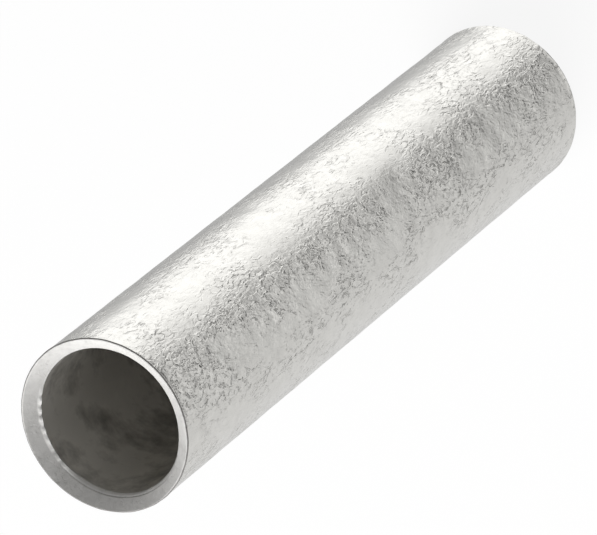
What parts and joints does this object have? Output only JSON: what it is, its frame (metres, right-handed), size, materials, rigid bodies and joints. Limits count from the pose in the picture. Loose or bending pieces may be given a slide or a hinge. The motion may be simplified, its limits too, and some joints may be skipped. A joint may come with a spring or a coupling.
{
  "type": "butt splice connector",
  "caption": "Plain tin-plated copper tube, open from end to end with a lead-in at each mouth, crimped over the ends of conductors to join them end to end.",
  "frame": {"origin": "centre of the lower end, which the sleeve stands on", "axes": "+Z along the sleeve, from the lower mouth to the upper mouth; the sleeve is round, so X and Y are free"},
  "size_m": [0.006, 0.006, 0.03],
  "materials": {
    "tinned_copper": "tin plate over copper, satin, tumbled, with fine random scratches"
  },
  "bodies": {
    "root": {"sleeve": "tinned_copper"}
  },
  "joints": []
}
